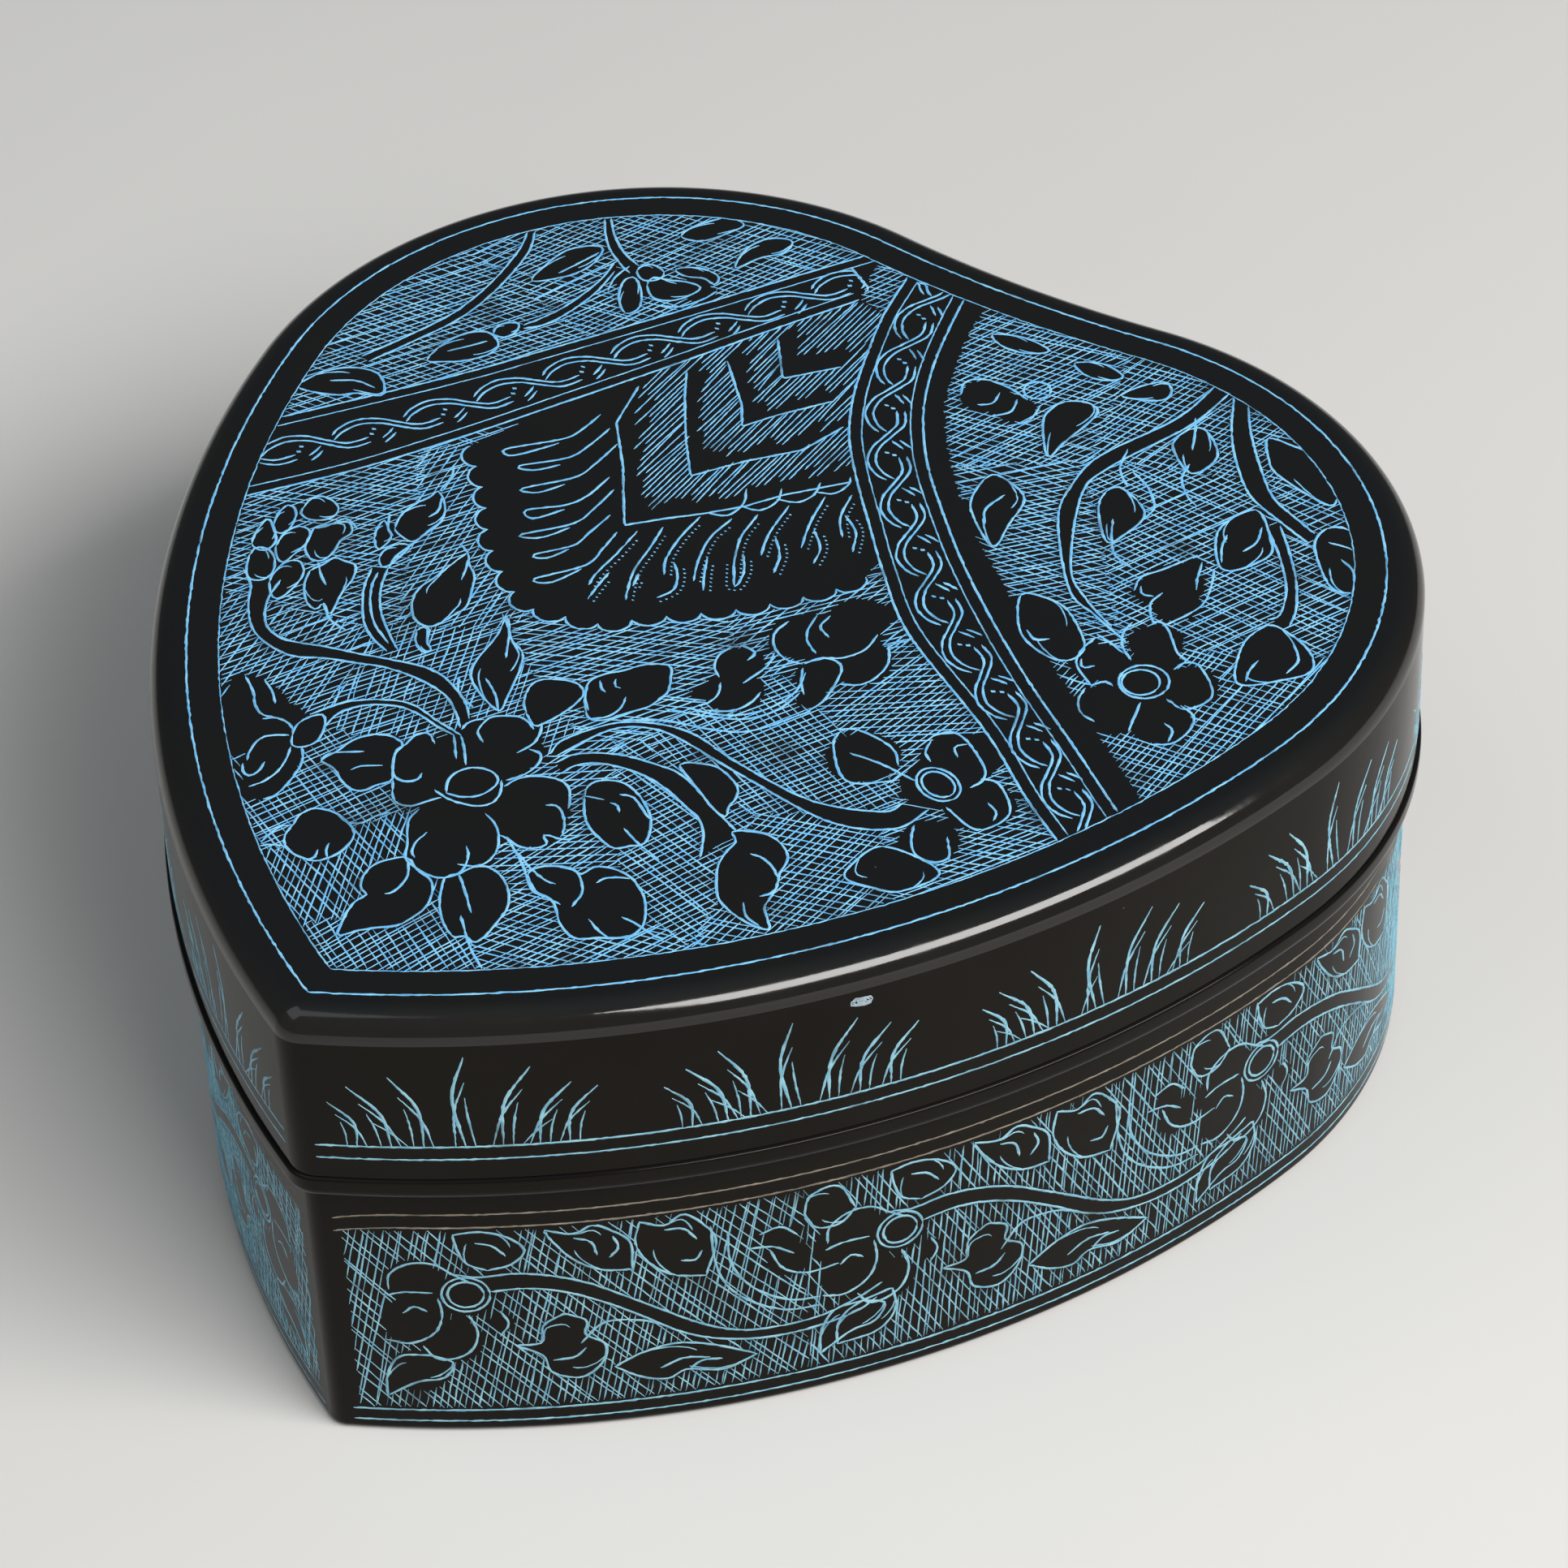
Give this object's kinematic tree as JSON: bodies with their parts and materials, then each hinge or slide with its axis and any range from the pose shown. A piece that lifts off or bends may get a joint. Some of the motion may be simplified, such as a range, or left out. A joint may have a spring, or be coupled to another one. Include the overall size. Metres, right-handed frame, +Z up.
{
  "type": "music box",
  "caption": "Heart-shaped black lacquer box with incised blue floral ornament, a lift-off lid and a wind-up musical movement under a clear cover, wound from below.",
  "frame": {"origin": "under the middle of the box, on the plane its foot rim stands on", "axes": "+Z up, tip of the heart towards -Y, cleft towards +Y, +X to the right seen from the tip"},
  "size_m": [0.11, 0.1134, 0.0483],
  "materials": {
    "black_lacquer": "gloss black lacquer with incised lines filled in sky blue",
    "dark_wood": "satin dark stain",
    "felt": "napped felt",
    "clear_acrylic": "clear polished",
    "cast_plate": "as cast",
    "brass": "turned brass",
    "steel": "ground steel",
    "screw_steel": "blued",
    "dark_nylon": "moulded"
  },
  "bodies": {
    "case": {"case_wall": "black_lacquer", "base_panel": "dark_wood", "collar": "dark_wood", "floor_lining": "felt", "movement_cover": "clear_acrylic", "bedplate": "cast_plate", "governor_frame": "cast_plate", "comb_rest": "cast_plate", "bearing_left": "cast_plate", "bearing_right": "cast_plate", "bridge_posts": "cast_plate", "barrel_bridge": "cast_plate", "lever_post": "cast_plate", "stem_bush": "brass", "clutch_spring": "steel", "comb": "steel", "cover_screws": "screw_steel", "mounting_screws": "screw_steel", "bridge_screws": "screw_steel", "comb_screws": "screw_steel", "governor_screws": "screw_steel", "lever_screw": "screw_steel"},
    "lid": {"lid_shell": "black_lacquer", "lid_lining": "felt"},
    "winder": {"winding_key": "steel", "winding_arbor": "steel"},
    "barrel": {"spring_barrel": "brass", "barrel_cap": "brass", "mainspring": "steel"},
    "cylinder": {"music_cylinder": "brass", "cylinder_pins": "steel", "cylinder_arbor": "steel", "cylinder_pinion": "brass", "cylinder_wheel": "brass"},
    "governor": {"governor_wheel": "brass", "governor_pinion": "brass", "governor_arbor": "steel"},
    "fan": {"worm_shaft": "steel", "air_brake": "dark_nylon"},
    "lever": {"stop_lever": "steel"}
  },
  "joints": [
    {"name": "lid_lift", "type": "slide", "parent": "case", "child": "lid", "axis": [0, 0, 1], "range_m": [0, 0.08]},
    {"name": "key_wind", "type": "hinge", "parent": "case", "child": "winder", "pos_m": [-0.0155, 0.018, 0.005], "axis": [0, 0, 1], "range_deg": [0, 1530]},
    {"name": "barrel_turn", "type": "hinge", "parent": "case", "child": "barrel", "pos_m": [-0.0155, 0.018, 0.02], "axis": [0, 0, 1], "continuous": true},
    {"name": "cylinder_turn", "type": "hinge", "parent": "case", "child": "cylinder", "pos_m": [0, 0.018, 0.0232], "axis": [1, 0, 0], "continuous": true},
    {"name": "governor_turn", "type": "hinge", "parent": "case", "child": "governor", "pos_m": [0, 0.02605, 0.0232], "axis": [1, 0, 0], "continuous": true},
    {"name": "fan_spin", "type": "hinge", "parent": "case", "child": "fan", "pos_m": [0.0201, 0.03225, 0.0232], "axis": [0, 0, 1], "continuous": true},
    {"name": "stop_swing", "type": "hinge", "parent": "case", "child": "lever", "pos_m": [0.027, 0.016, 0.0272], "axis": [0, 0, -1], "range_deg": [0, 8]}
  ],
  "couplings": [
    {"joint": "cylinder_turn", "follows": "barrel_turn", "ratio": 3},
    {"joint": "governor_turn", "follows": "barrel_turn", "ratio": -12},
    {"joint": "fan_spin", "follows": "barrel_turn", "ratio": 120}
  ]
}
